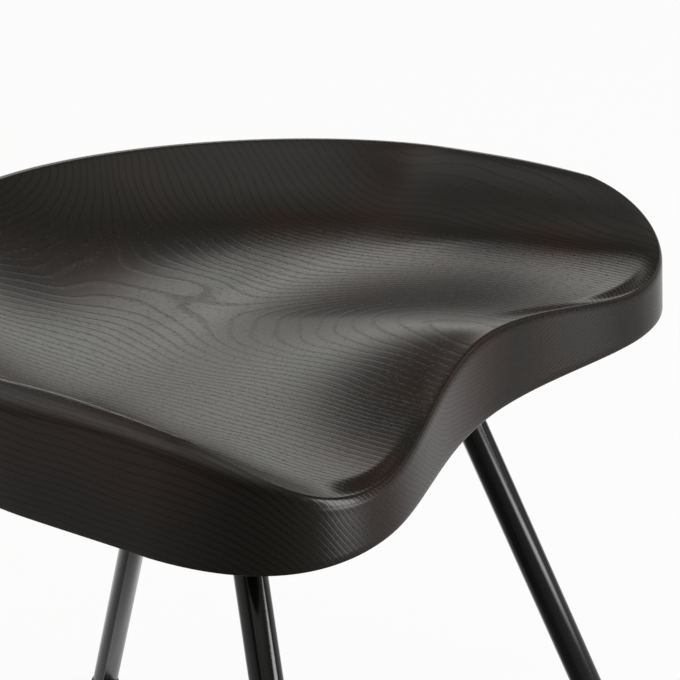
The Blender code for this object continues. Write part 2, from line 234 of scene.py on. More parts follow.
def dot_with(tree, source, direction):
    """How far a vector points along a direction."""
    node = add_node(tree, "ShaderNodeVectorMath", {"operation": "DOT_PRODUCT"})
    node.inputs[1].default_value = direction
    join(tree, source, node.inputs[0])
    return node.outputs["Value"]


def shares_of_sides(tree, source):
    """How much a vector belongs to the back, front, right and left. The shares add up to 1."""
    along = dot_with(tree, source, TO_THE_BACK)
    across = dot_with(tree, source, TO_THE_RIGHT)
    squared = maths(tree, "MULTIPLY", along, along)
    squared = maths(tree, "ADD", squared, maths(tree, "MULTIPLY", across, across))
    squared = maths(tree, "MAXIMUM", squared, NEAR_ZERO)
    ways = {"back": (along, 1), "front": (along, -1), "right": (across, 1), "left": (across, -1)}
    shares = {}
    for side, (value, sign) in ways.items():
        one_way = maths(tree, "MAXIMUM", maths(tree, "MULTIPLY", value, sign), 0.0)
        shares[side] = maths(tree, "DIVIDE", maths(tree, "MULTIPLY", one_way, one_way), squared)
    return shares


def weighed(tree, shares, levels):
    """The sum of each side's share times its level, which is a socket or a number."""
    total = 0.0
    for side, level in levels.items():
        total = maths(tree, "ADD", maths(tree, "MULTIPLY", shares[side], level), total)
    return total


print("directions ready")

# %% Hang the walls of the room
WHITE_SEEN = 0.99
BRIGHTEST = 2.0
ROOM_COLOUR = (1.0, 1.0, 0.96)
# Each side: pairs of a height, from 0 at the horizon to 1 at the zenith, and a share of BRIGHTEST
WALLS = {
    "back": ((0.0, 0.27), (0.15, 0.24), (0.27, 0.44), (0.35, 0.93), (0.43, 0.80), (0.50, 0.06),
             (0.75, 0.05), (0.90, 0.17), (1.0, 0.32)),
    "right": ((0.0, 0.01), (0.15, 0.06), (0.27, 0.12), (0.43, 0.06), (0.75, 0.04), (1.0, 0.32)),
    "left": ((0.0, 0.04), (0.15, 0.12), (0.36, 0.20), (0.50, 0.36), (0.60, 0.48), (0.75, 0.52),
             (0.90, 0.10), (1.0, 0.32)),
    "front": ((0.0, 0.0), (0.27, 0.02), (0.43, 0.04), (0.60, 0.16), (0.75, 0.27), (0.90, 0.60),
              (1.0, 0.32)),
}

world = bpy.data.worlds.new("studio")
scene.world = world
world.use_nodes = True
tree = world.node_tree
tree.nodes.clear()
direction = add_node(tree, "ShaderNodeTexCoord").outputs["Generated"]
height = dot_with(tree, direction, (0, 0, 1))
walls = {}
for side, stops in WALLS.items():
    ramp = colour_ramp(tree, stops)
    join(tree, height, ramp.inputs["Fac"])
    walls[side] = ramp.outputs["Color"]
level = weighed(tree, shares_of_sides(tree, direction), walls)
level = maths(tree, "MULTIPLY", level, BRIGHTEST)

light_path = add_node(tree, "ShaderNodeLightPath")
room = add_node(tree, "ShaderNodeBackground", Color=(*ROOM_COLOUR, 1))
seen = add_node(tree, "ShaderNodeBackground", Color=(1, 1, 1, 1), Strength=WHITE_SEEN)
choose = add_node(tree, "ShaderNodeMixShader")
output = add_node(tree, "ShaderNodeOutputWorld")
join(tree, level, room.inputs["Strength"])
join(tree, light_path.outputs["Is Camera Ray"], choose.inputs[0])
join(tree, room.outputs[0], choose.inputs[1])
join(tree, seen.outputs[0], choose.inputs[2])
join(tree, choose.outputs[0], output.inputs["Surface"])
print("walls:", ", ".join(WALLS))

# %% [markdown]
# The floor is a wide disc. Where the camera sees it, it glows a little, so that it comes out white,
# and still takes the stool's shadow. The varnish and the paint mirror it too, and in what they mirror
# the glow holds painted light and shade: white behind the stool, a painted shadow under it, darker
# towards the camera, and a painted pool of light in front of the softbox.

# %% Lay the floor
FLOOR_RADIUS, FLOOR_SIDES = 30.0, 96
PAPER_OWN_LIGHT = 0.91
# The paper's grey where it is seen or mirrored, and where it only throws light back
PAPER_SEEN, PAPER_UNSEEN = 0.12, 0.5
# How bright the floor is in a mirror, towards each side, and the share of that under the stool: a
# painted shadow
FLOOR_MIRRORED = {"back": 0.95, "right": 0.24, "left": 0.30, "front": 0.02}
UNDER_STOOL_SHADE_SHARE, UNDER_STOOL_SHADE_REACH = 0.2, (0.18, 0.48)
# A painted pool of light on the floor in front of the softbox, seen only in reflections
PAINTED_POOL_PLACE, PAINTED_POOL_REACH, PAINTED_POOL_BRIGHTNESS = (0.38, -1.85, 0.0), (0.80, 0.15), 5.0

bm = bmesh.new()
bmesh.ops.create_circle(bm, cap_ends=True, segments=FLOOR_SIDES, radius=FLOOR_RADIUS)
floor = new_object("floor", bm)

floor_finish = bpy.data.materials.new("white_paper")
floor_finish.use_nodes = True
tree = floor_finish.node_tree
tree.nodes.clear()
place = place_on(tree)
light_path = add_node(tree, "ShaderNodeLightPath")
seen = light_path.outputs["Is Camera Ray"]
mirrored = maths(
    tree, "ADD", light_path.outputs["Is Glossy Ray"], light_path.outputs["Is Transmission Ray"],
)

# Painted shadow: under the stool the mirrored glow fades to a share of itself
from_stool = add_node(tree, "ShaderNodeVectorMath", {"operation": "LENGTH"})
join(tree, place, from_stool.inputs[0])
out_of_painted_shade = fade(tree, from_stool.outputs["Value"], *UNDER_STOOL_SHADE_REACH)
out_of_painted_shade = between(tree, out_of_painted_shade, UNDER_STOOL_SHADE_SHARE, 1.0)
# Painted light: a bright pool in the mirrored glow, in front of the softbox
from_painted_pool = add_node(tree, "ShaderNodeVectorMath", {"operation": "DISTANCE"})
from_painted_pool.inputs[1].default_value = PAINTED_POOL_PLACE
join(tree, place, from_painted_pool.inputs[0])
painted_pool = fade(tree, from_painted_pool.outputs["Value"], *PAINTED_POOL_REACH)
painted_pool = maths(tree, "MULTIPLY", painted_pool, PAINTED_POOL_BRIGHTNESS)

glow_mirrored = weighed(tree, shares_of_sides(tree, place), FLOOR_MIRRORED)
glow_mirrored = maths(tree, "MULTIPLY", glow_mirrored, out_of_painted_shade)
glow_mirrored = maths(tree, "ADD", glow_mirrored, painted_pool)
glow_mirrored = maths(tree, "MULTIPLY", glow_mirrored, mirrored)
glow_seen = maths(tree, "MULTIPLY", seen, PAPER_OWN_LIGHT)
glow = add_node(tree, "ShaderNodeEmission")
join(tree, maths(tree, "ADD", glow_seen, glow_mirrored), glow.inputs["Strength"])

shown = maths(tree, "MAXIMUM", seen, mirrored)
colour = mixed(tree, shown, (PAPER_UNSEEN,) * 3, (PAPER_SEEN,) * 3)
paper = add_node(tree, "ShaderNodeBsdfDiffuse")
join(tree, colour, paper.inputs["Color"])
both = add_node(tree, "ShaderNodeAddShader")
output = add_node(tree, "ShaderNodeOutputMaterial")
join(tree, paper.outputs[0], both.inputs[0])
join(tree, glow.outputs[0], both.inputs[1])
join(tree, both.outputs[0], output.inputs["Surface"])
floor.data.materials.append(floor_finish)
print("floor radius, m:", FLOOR_RADIUS)

# %% [markdown]
# One tall softbox stands on the right of the picture. It draws the bright strip down each leg and the
# gleams along the seat's edges. A lamp's brightness is its power spread over its face.

# %% Set up the softbox
SOFTBOX_PLACE, SOFTBOX_AIM = (0.55, -2.25, 0.80), (0, 0, 0.45)
SOFTBOX_WIDTH, SOFTBOX_HEIGHT = 0.95, 1.3
SOFTBOX_BRIGHTNESS = 5.5

lamp = bpy.data.lights.new("softbox", "AREA")
lamp.shape = "RECTANGLE"
lamp.size, lamp.size_y = SOFTBOX_WIDTH, SOFTBOX_HEIGHT
lamp.energy = SOFTBOX_BRIGHTNESS * math.pi * SOFTBOX_WIDTH * SOFTBOX_HEIGHT
softbox = bpy.data.objects.new("softbox", lamp)
softbox.location = SOFTBOX_PLACE
aim = Vector(SOFTBOX_AIM) - Vector(SOFTBOX_PLACE)
softbox.rotation_euler = aim.to_track_quat("-Z", "Y").to_euler()
scene.collection.objects.link(softbox)
print("softbox power, W:", round(lamp.energy, 1))

# %% [markdown]
# ## The outline of the seat
#
# The seat is symmetric, so one half is drawn and the other mirrored. Two closed curves shape it: the
# crest of the rim, which rises and falls in space, and the lower edge, which is flat. Each is four
# smooth curve spans from the front notch, round the thigh lobe and the hip, to the middle of the back.
# A cubic curve needs only a few numbers and stays fair however many points are read from it, which is
# why it suits a carved shape better than a long list of points.

# %% Draw the crest and the lower edge
UNDERSIDE = 430 * MM
SEAT_MIDDLE_Y = -10.3 * MM

# Each point holds x, y and the height over the underside, then the width of the wall inside it and
# the power of the wall's curve
CREST_SPANS = (
    ((0.0, -0.1780, 0.0470, 0.0180, 1.6), (0.0500, -0.1780, 0.0470, 0.0180, 1.6),
     (0.0970, -0.2010, 0.0300, 0.0080, 2.0), (0.1350, -0.2010, 0.0300, 0.0080, 2.0)),
    ((0.1350, -0.2010, 0.0300, 0.0080, 2.0), (0.1870, -0.2010, 0.0300, 0.0080, 2.0),
     (0.1990, -0.1735, 0.0535, 0.0730, 2.9), (0.2000, -0.1350, 0.0605, 0.0730, 2.9)),
    ((0.2000, -0.1350, 0.0605, 0.0730, 2.9), (0.1985, -0.0970, 0.0628, 0.0730, 2.9),
     (0.1950, -0.0630, 0.0620, 0.1050, 3.9), (0.1950, -0.0300, 0.0600, 0.1050, 3.9)),
    ((0.1950, -0.0300, 0.0600, 0.1050, 3.9), (0.1950, 0.0630, 0.0520, 0.1050, 3.9),
     (0.0925, 0.1680, 0.0535, 0.1490, 2.6), (0.0, 0.1680, 0.0535, 0.1490, 2.6)),
)
EDGE_SPANS = (
    ((0.0, -0.1830), (0.0520, -0.1830), (0.1015, -0.2055), (0.1360, -0.2055)),
    ((0.1360, -0.2055), (0.1920, -0.2055), (0.2120, -0.1665), (0.2145, -0.1200)),
    ((0.2145, -0.1200), (0.2150, -0.0950), (0.2160, -0.0700), (0.2160, -0.0450)),
    ((0.2160, -0.0450), (0.2160, 0.0750), (0.1080, 0.1870), (0.0, 0.1870)),
)
STATIONS_PER_SPAN = (28, 34, 16, 46)


def cubic(span, t):
    """A point of the cubic curve through a span's ends, in as many numbers as they hold."""
    s = 1 - t
    weights = (s * s * s, 3 * s * s * t, 3 * s * t * t, t * t * t)
    return [sum(w * point[k] for w, point in zip(weights, span)) for k in range(len(span[0]))]


def closed_outline(spans):
    half = []
    for span, steps in zip(spans, STATIONS_PER_SPAN):
        half += [cubic(span, step / steps) for step in range(steps)]
    half.append(list(spans[-1][-1]))
    return half + [[-point[0], *point[1:]] for point in reversed(half[1:-1])]


crest = closed_outline(CREST_SPANS)
lower_edge = closed_outline(EDGE_SPANS)
print("points round the seat:", len(crest))

# %% [markdown]
# ## The carved top
#
# A carver hollows the dish first and leaves a ridge, the pommel, between the thighs. So the floor of
# the dish is one formula: a hollow that rises to both sides, lifted a little towards the front, where
# the thighs lie, with the pommel as a soft ridge that rises towards the notch. The wall then climbs
# from that floor to the crest. A power of the distance makes it hollow: almost flat at its foot and
# steep under the crest. Its width and power change from place to place along the rim. The numbers
# come from the photo's sheen: a varnished hollow mirrors the room, so its bright and dark patches
# tell how each place is tilted.

# %% Shape the dish
DISH_CENTRE_Y = -0.025
FLOOR_THICKNESS = 19 * MM
HOLLOW_REACH = 0.2
HOLLOW_RISE_ACROSS, HOLLOW_POWER_ACROSS = 14.2 * MM, 2.46
LOBE_LIFT = 4.8 * MM
LOBE_LIFT_START_Y, LOBE_LIFT_END_Y = -0.012, -0.190
POMMEL_HEIGHT, POMMEL_HALF_WIDTH, POMMEL_POWER = 24 * MM, 98 * MM, 1.6
POMMEL_FRONT_Y, POMMEL_BACK_Y = -0.169, 0.007
CREST_INNER_ROUND = 3.2 * MM


def smooth_step(value):
    value = min(max(value, 0.0), 1.0)
    return value * value * (3 - 2 * value)


def floor_height(x, y):
    """Top of the dish without its rim, over the underside."""
    hollow = HOLLOW_RISE_ACROSS * (abs(x) / HOLLOW_REACH) ** HOLLOW_POWER_ACROSS
    lift = smooth_step((LOBE_LIFT_START_Y - y) / (LOBE_LIFT_START_Y - LOBE_LIFT_END_Y))
    ridge = smooth_step((POMMEL_BACK_Y - y) / (POMMEL_BACK_Y - POMMEL_FRONT_Y))
    flank = math.exp(-((abs(x) / POMMEL_HALF_WIDTH) ** POMMEL_POWER))
    return FLOOR_THICKNESS + hollow + LOBE_LIFT * lift + POMMEL_HEIGHT * ridge * flank


def wall_share(distance, width, power):
    """How much of the rim's rise is left at this distance inside the crest, from 1 to 0."""
    eased = math.hypot(distance, CREST_INNER_ROUND) - CREST_INNER_ROUND
    eased_width = math.hypot(width, CREST_INNER_ROUND) - CREST_INNER_ROUND
    return max(1 - eased / eased_width, 0.0) ** power


def dish_point(station, share):
    """A point of the top at this share of the way from the dish's centre to the crest."""
    crest_x, crest_y, crest_z, wall_width, wall_power = station
    x = crest_x * share
    y = DISH_CENTRE_Y + (crest_y - DISH_CENTRE_Y) * share
    from_crest = math.hypot(crest_x, crest_y - DISH_CENTRE_Y) * (1 - share)
    rise = crest_z - floor_height(crest_x, crest_y)
    return Vector((x, y, floor_height(x, y) + rise * wall_share(from_crest, wall_width, wall_power)))


print("thinnest place, mm:", round(floor_height(0, POMMEL_BACK_Y) / MM, 1))

# %% [markdown]
# Outside, the surface rolls over the crest in a quarter round, runs down a leaning wall and turns
# under in a small round at the lower edge.

# %% Shape the rim and the side
CREST_ROUND_SHARE = 0.62
CREST_ROUND_LEAST_DROP = 4 * MM
CREST_ROUND_DROP_SHARE = 0.65
LOWER_EDGE_ROUND = 2 * MM
CREST_RINGS, WALL_RINGS, LOWER_RINGS = 10, 8, 4


def side_points(station, edge):
    """The points of one station from the crest, over its round and down to the underside."""
    top = Vector(station[:3])
    out = Vector((edge[0] - top.x, edge[1] - top.y, 0.0))
    round_reach = out.length * CREST_ROUND_SHARE
    round_drop = CREST_ROUND_LEAST_DROP + CREST_ROUND_DROP_SHARE * round_reach
    out.normalize()
    points = []
    for ring in range(1, CREST_RINGS + 1):
        turn = math.pi / 2 * ring / CREST_RINGS
        drop = round_drop * (1 - math.cos(turn))
        points.append(top + out * round_reach * math.sin(turn) - Vector((0, 0, drop)))
    wall_top, wall_foot = points[-1], Vector((edge[0], edge[1], LOWER_EDGE_ROUND))
    points += [wall_top.lerp(wall_foot, ring / WALL_RINGS) for ring in range(1, WALL_RINGS + 1)]
    for ring in range(1, LOWER_RINGS + 1):
        turn = math.pi / 2 * ring / LOWER_RINGS
        height = LOWER_EDGE_ROUND * (1 - math.sin(turn))
        inward = out * LOWER_EDGE_ROUND * (1 - math.cos(turn))
        points.append(Vector((edge[0], edge[1], height)) - inward)
    return points


sides = [side_points(*pair) for pair in zip(crest, lower_edge)]
lobe, hip = crest[STATIONS_PER_SPAN[0]], crest[sum(STATIONS_PER_SPAN[:2])]
print("rim height, mm: front lobe", round(lobe[2] / MM, 1), "hip", round(hip[2] / MM, 1))

# %% [markdown]
# ## Skin the seat
#
# The skin grows from a small circle in the middle of the dish. Its edge is extruded again and again,
# and after each extrusion the new ring of points moves to its place on the formulas above. That keeps
# one even grid of faces from the centre, over the rim, to the underside, which shades smoothly.

# %% Grow rings into a skin
# Edges that turn by more than this many degrees are shaded sharp
SHARP_ANGLE = 35


def place_ring(ring, points):
    for vert, point in zip(ring, points):
        vert.co = point


def next_ring(ring, new_verts):
    """The new points in the order of the ring that they were extruded from."""
    return [
        next(edge.other_vert(vert) for edge in vert.link_edges if edge.other_vert(vert) in new_verts)
        for vert in ring
    ]


def skin_through(levels):
    """A skin through rings of points, open at both ends, with its first and last ring."""
    bm = bmesh.new()
    first = bmesh.ops.create_circle(bm, segments=len(levels[0]), radius=1.0)["verts"]
    place_ring(first, levels[0])
    ring = first
    for level in levels[1:]:
        edges = [bm.edges.get((ring[i - 1], ring[i])) for i in range(len(ring))]
        grown = bmesh.ops.extrude_edge_only(bm, edges=edges)["geom"]
        ring = next_ring(ring, {v for v in grown if isinstance(v, bmesh.types.BMVert)})
        place_ring(ring, level)
    return bm, first, ring


def joined_skin(levels):
    """A skin through rings of points that closes on itself, from the last ring to the first."""
    bm = skin_through(levels)[0]
    bmesh.ops.bridge_loops(bm, edges=[edge for edge in bm.edges if edge.is_boundary])
    return bm


def shade(mesh, sharp_angle=SHARP_ANGLE):
    mesh.shade_smooth()
    mesh.set_sharp_from_angle(angle=math.radians(sharp_angle))


def new_piece(name, bm, finish, sharp_angle=SHARP_ANGLE):
    """An object from the bmesh, with its faces pointing out, shaded and with a finish."""
    bmesh.ops.recalc_face_normals(bm, faces=bm.faces)
    piece = new_object(name, bm)
    shade(piece.data, sharp_angle)
    piece.data.materials.append(finish)
    return piece


print("skin helpers ready")

# %% [markdown]
# ## The stained oak
#
# The block is oak with the tree's length along the seat from front to back, and the heart of the tree
# lay a little above it. So each growth ring is a tube that the carved hollow cuts like a hillside cuts
# the contour lines of a map: the walls show arches, and the pommel and the lobes show loops. A pattern
# that is read from the place in the block, and not painted on the surface, gives this by itself. Real
# rings aren't true circles, so their place is shifted by a slow noise first.

# %% Count the rings
OAK_COLOUR, OAK_ROUGHNESS = (0.018, 0.013, 0.011), 0.26
HEART_HEIGHT = 0.575
RING_SPACING = 2.6 * MM
WARP, WARP_SCALE = 15 * MM, (13, 9, 13)
# The spring wood fades in and out again between these shares of a ring
SPRING_START, SPRING_END = (0.0, 0.10), (0.42, 0.14)

oak, tree, oak_shader = new_finish("stained_oak", OAK_COLOUR, OAK_ROUGHNESS)
place = place_on(tree)
slow = noise(tree, stretched(tree, place, WARP_SCALE), 1.0, detail=1.5, roughness=0.45)
shift = add_node(tree, "ShaderNodeVectorMath", {"operation": "MULTIPLY_ADD"})
shift.inputs[1].default_value = (WARP, 0, WARP)
join(tree, slow.outputs["Color"], shift.inputs[0])
join(tree, place, shift.inputs[2])
in_log = add_node(tree, "ShaderNodeSeparateXYZ")
join(tree, shift.outputs["Vector"], in_log.inputs[0])
# The noise lies round a half, so half the warp is taken off again
under_heart = maths(tree, "SUBTRACT", in_log.outputs["Z"], HEART_HEIGHT + WARP / 2)
beside_heart = maths(tree, "SUBTRACT", in_log.outputs["X"], WARP / 2)
squared = maths(tree, "MULTIPLY", under_heart, under_heart)
squared = maths(tree, "ADD", squared, maths(tree, "MULTIPLY", beside_heart, beside_heart))
ring_count = maths(tree, "DIVIDE", maths(tree, "SQRT", squared), RING_SPACING)
in_ring = maths(tree, "FRACT", ring_count)
spring_wood = maths(
    tree, "MULTIPLY", fade(tree, in_ring, *SPRING_START), fade(tree, in_ring, *SPRING_END),
)
print("ring spacing, mm:", round(RING_SPACING / MM, 1))

# %% [markdown]
# Oak is ring porous: each spring it grows a band of wide pores, and then denser wood. Cut along the
# grain, a pore is a groove a few millimetres long and under half a millimetre wide. A cell pattern
# stretched along the tree gives such dashes, and they are let through mostly in the spring bands.

# %% Cut the pores
PORE_CELL = (0.62 * MM, 6.0 * MM, 0.62 * MM)
# A pore's reach round the middle of its cell, and what the spring wood adds to it
PORE_REACH, PORE_REACH_IN_SPRING, PORE_EDGE = 0.17, 0.16, 0.06
FIBRE_SCALE = (2400, 90, 2400)

cell_place = stretched(tree, place, [1 / size for size in PORE_CELL])
cells = add_node(tree, "ShaderNodeTexVoronoi", {"feature": "F1"}, Scale=1.0, Randomness=1.0)
join(tree, cell_place, cells.inputs["Vector"])
reach = maths(tree, "MULTIPLY", spring_wood, PORE_REACH_IN_SPRING)
reach = maths(tree, "ADD", reach, PORE_REACH)
past_reach = maths(tree, "SUBTRACT", cells.outputs["Distance"], reach)
pores = fade(tree, past_reach, PORE_EDGE, -PORE_EDGE)
fibres = noise(tree, stretched(tree, place, FIBRE_SCALE), 1.0, detail=2.0, roughness=0.6)
print("pore length, mm:", round(PORE_CELL[1] / MM / 2, 1))

# %% [markdown]
# The stain is near black, a little lighter in the dense wood, and redder in some streaks of the block
# than in others. The varnish lies smooth on the dense wood and sinks into the pores, so there the seat
# is duller and dented.

# %% Stain and varnish
SPRING_DARKENING, PORE_DARKENING = 0.72, 0.55
STAIN_IN_PORES = (0.0062, 0.0037, 0.0027)
STAIN_BROWN, STAIN_RED = (0.0190, 0.0158, 0.0122), (0.0310, 0.0156, 0.0116)
RED_STREAKS = (0.45, 0.64)
# The varnish's roughness, and what the spring wood and the pores add to it
ROUGHNESS, ROUGHNESS_IN_SPRING, ROUGHNESS_IN_PORES = 0.20, 0.06, 0.10
FIBRE_RELIEF = 0.10
DENT_STRENGTH, DENT_DEPTH = 0.5, 0.09 * MM

dense = maths(tree, "MULTIPLY", spring_wood, SPRING_DARKENING)
dense = maths(tree, "SUBTRACT", 1.0, dense)
filled = maths(tree, "MULTIPLY", pores, PORE_DARKENING)
filled = maths(tree, "SUBTRACT", 1.0, filled)
level = maths(tree, "MULTIPLY", dense, filled)
streaks = mixed(tree, fade(tree, slow.outputs["Fac"], *RED_STREAKS), STAIN_BROWN, STAIN_RED)
join(tree, mixed(tree, level, STAIN_IN_PORES, streaks), oak_shader.inputs["Base Color"])

roughness = maths(tree, "MULTIPLY", spring_wood, ROUGHNESS_IN_SPRING)
roughness = maths(tree, "ADD", roughness, ROUGHNESS)
roughness = maths(tree, "ADD", roughness, maths(tree, "MULTIPLY", pores, ROUGHNESS_IN_PORES))
join(tree, roughness, oak_shader.inputs["Roughness"])

relief = maths(tree, "MULTIPLY", fibres.outputs["Fac"], FIBRE_RELIEF)
relief = maths(tree, "ADD", relief, level)
ripple(tree, oak_shader, relief, DENT_STRENGTH, DENT_DEPTH)
print("oak nodes:", len(tree.nodes))

# %% [markdown]
# Now the seat itself. The pole in the middle of the dish is closed with a fan, and the flat underside
# with one face.

# %% Carve the seat
DISH_RINGS, DISH_RING_CROWDING = 72, 1.4

levels = []
for ring in range(1, DISH_RINGS + 1):
    share = 1 - (1 - ring / DISH_RINGS) ** DISH_RING_CROWDING
    levels.append([dish_point(station, share) for station in crest])
levels += [list(level) for level in zip(*sides)]
bm, first, last = skin_through(levels)
centre = bm.verts.new(dish_point(crest[0], 0.0))
for index, vert in enumerate(first):
    bm.faces.new((centre, vert, first[(index + 1) % len(first)]))
bm.faces.new(last)
bmesh.ops.translate(bm, verts=bm.verts, vec=(0, SEAT_MIDDLE_Y, UNDERSIDE))
seat = new_piece("carved_seat", bm, oak)
print("seat faces:", len(seat.data.polygons))

# %% [markdown]
# ## The legs' lines
#
# Each leg is a straight tube between a point under the seat and a point on the floor. Everything that
# belongs to it, the plate, the weld and the glide, is placed from that line. A level ring round a
# slanted tube is an oval, so the helper slides each point of a true circle along the leg until it
# reaches the wanted height.

# %% Set out the legs
LEG_TOP_X, LEG_FOOT_X, LEG_FOOT_Y = 94.5 * MM, 198.6 * MM, 241.1 * MM
FRONT_TOP_Y, REAR_TOP_Y = -93.9 * MM, 69 * MM
LEG_SIDES = 64
CORNERS = {
    "front_left": (1, FRONT_TOP_Y, -LEG_FOOT_Y),
    "front_right": (-1, FRONT_TOP_Y, -LEG_FOOT_Y),
    "rear_left": (1, REAR_TOP_Y, LEG_FOOT_Y),
    "rear_right": (-1, REAR_TOP_Y, LEG_FOOT_Y),
}


def leg_line(corner):
    """Where the leg's axis meets the underside, and its direction down to the floor."""
    sign, top_y, foot_y = CORNERS[corner]
    top = Vector((sign * LEG_TOP_X, top_y, UNDERSIDE))
    foot = Vector((sign * LEG_FOOT_X, foot_y, 0.0))
    return top, (foot - top).normalized()


def ring_on_leg(corner, radius, height, sides=LEG_SIDES):
    """Points at one level on a tube of this radius round the leg's axis."""
    top, direction = leg_line(corner)
    turn = Vector((0, 0, 1)).rotation_difference(direction).to_matrix()
    points = []
    for side in range(sides):
        angle = 2 * math.pi * side / sides
        point = top + turn @ Vector((radius * math.cos(angle), radius * math.sin(angle), 0.0))
        points.append(point + direction * (height - point.z) / direction.z)
    return points


for corner in CORNERS:
    lean = math.degrees(math.acos(-leg_line(corner)[1].z))
    print(corner, "leans", round(lean, 1), "degrees")

# %% [markdown]
# ## Gloss black paint
#
# The legs are dipped or powder coated: a deep black with a hard gloss and a faint waviness, which
# softens the edges of what it reflects.

# %% Mix the leg paint
PAINT_COLOUR, PAINT_ROUGHNESS = (0.0025, 0.0025, 0.0022), 0.13
PAINT_SMOOTHEST, PAINT_ROUGHEST = 0.10, 0.18
COAT_WEIGHT, COAT_ROUGHNESS = 0.5, 0.06
WAVE_SCALE, WAVE_STRENGTH, WAVE_DEPTH = 420.0, 0.05, 0.2 * MM

leg_paint, tree, paint_shader = new_finish("black_gloss_paint", PAINT_COLOUR, PAINT_ROUGHNESS)
paint_shader.inputs["Coat Weight"].default_value = COAT_WEIGHT
paint_shader.inputs["Coat Roughness"].default_value = COAT_ROUGHNESS
waves = noise(tree, place_on(tree), WAVE_SCALE, detail=2.0, roughness=0.5).outputs["Fac"]
roughness = between(tree, waves, PAINT_SMOOTHEST, PAINT_ROUGHEST)
join(tree, roughness, paint_shader.inputs["Roughness"])
ripple(tree, paint_shader, waves, WAVE_STRENGTH, WAVE_DEPTH)
print("leg paint ready")

# %% [markdown]
# ## The tubes
#
# A leg is 18 mm tube with a 2 mm wall. One skin runs down the outside, round the lower end and back up
# the bore, so the tube has a true wall. The ends get a small chamfer, where a saw would leave a burr
# and a file takes it off.

# %% Draw the tubes
LEG_RADIUS, LEG_WALL = 9 * MM, 2 * MM
FIT = 0.3 * MM
GLIDE_HEIGHT = 9 * MM
CHAMFER = 0.4 * MM


def leg_tube(corner):
    top, foot = UNDERSIDE - FIT, GLIDE_HEIGHT + FIT
    outer, inner = LEG_RADIUS, LEG_RADIUS - LEG_WALL
    rings = (
        (outer - CHAMFER, top), (outer, top - CHAMFER), (outer, foot + CHAMFER),
        (outer - CHAMFER, foot), (inner + CHAMFER, foot), (inner, foot + CHAMFER),
        (inner, top - CHAMFER), (inner + CHAMFER, top),
    )
    bm = joined_skin([ring_on_leg(corner, *ring) for ring in rings])
    return new_piece(f"tube_{corner}", bm, leg_paint)


for corner in CORNERS:
    tube = leg_tube(corner)
    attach(tube, "root")
    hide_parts(f"leg_{corner}")
print("tube length, mm:", round(UNDERSIDE / -leg_line("front_left")[1].z / MM))

# %% [markdown]
# ## Pockets in the underside
#
# Each plate is let into the wood, and over each screw is a hole for its threaded insert. A cutter is a
# plain turned shape, and the Boolean modifier takes it out of the seat. The cutters are only tools, so
# the cut is applied and they are thrown away.

# %% Place the screws of one plate
SCREW_CIRCLE, SCREWS_PER_PLATE = 24 * MM, 3
PLATE_RADIUS, PLATE_THICKNESS, PLATE_SIDES = 35 * MM, 5 * MM, 96
POCKET_PLAY = 0.5 * MM
# A tool starts this far outside the piece that it cuts
TOOL_OVERRUN = 2 * MM


def screw_places(corner):
    """The centres of one plate's screws, clear of the side that the leg leans to."""
    top, direction = leg_line(corner)
    lean = math.atan2(direction.y, direction.x)
    places = []
    for index in range(SCREWS_PER_PLATE):
        angle = lean + math.pi * (2 * index + 1) / SCREWS_PER_PLATE
        places.append(top + SCREW_CIRCLE * Vector((math.cos(angle), math.sin(angle), 0)))
    return places


def rod(place, radius, low, high, sides):
    """A bmesh of a plain rod or disc that stands at a place, from a low to a high level."""
    bm = bmesh.new()
    at = Matrix.Translation((place.x, place.y, (low + high) / 2))
    bmesh.ops.create_cone(
        bm, cap_ends=True, segments=sides, radius1=radius, radius2=radius,
        depth=high - low, matrix=at,
    )
    return bm


def cut_with(piece, tools, sharp_angle=SHARP_ANGLE):
    """Takes the tools out of the piece, keeps the result and throws the tools away."""
    for tool in tools:
        cut = piece.modifiers.new(tool.name, "BOOLEAN")
        cut.operation = "DIFFERENCE"
        cut.solver = "EXACT"
        cut.object = tool
    depsgraph = bpy.context.evaluated_depsgraph_get()
    finished = bpy.data.meshes.new_from_object(piece.evaluated_get(depsgraph))
    piece.modifiers.clear()
    piece.data = finished
    shade(finished, sharp_angle)
    for tool in tools:
        bpy.data.objects.remove(tool, do_unlink=True)


print("screws per plate:", SCREWS_PER_PLATE)

# %% Cut the pockets
INSERT_RADIUS, INSERT_LENGTH, PILOT_EXTRA = 5 * MM, 9 * MM, 1 * MM
HOLE_SIDES = 32
pocket_top = UNDERSIDE + PLATE_THICKNESS + FIT
hole_top = pocket_top + INSERT_LENGTH + PILOT_EXTRA

tools = []
for corner in CORNERS:
    top = leg_line(corner)[0]
    radius, low = PLATE_RADIUS + POCKET_PLAY, UNDERSIDE - TOOL_OVERRUN
    tools.append(new_object("pocket", rod(top, radius, low, pocket_top, PLATE_SIDES)))
    for screw_place in screw_places(corner):
        hole = rod(screw_place, INSERT_RADIUS + FIT, UNDERSIDE, hole_top, HOLE_SIDES)
        tools.append(new_object("hole", hole))
cut_with(seat, tools)
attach(seat, "root")
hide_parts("seat")
print("seat faces after the cuts:", len(seat.data.polygons))

# %% [markdown]
# ## Zinc-plated steel
#
# The plates, screws and inserts are plated steel: a pale grey metal whose spangle shows as soft
# patches of different gloss.

# %% Plate the steel
ZINC_COLOUR, ZINC_ROUGHNESS, ZINC_METALLIC = (0.55, 0.55, 0.53), 0.34, 1.0
ZINC_DARK, ZINC_PALE = (0.46, 0.46, 0.45), (0.62, 0.62, 0.60)
ZINC_SMOOTHEST, ZINC_ROUGHEST = 0.24, 0.46
SPANGLE_SCALE = 160.0

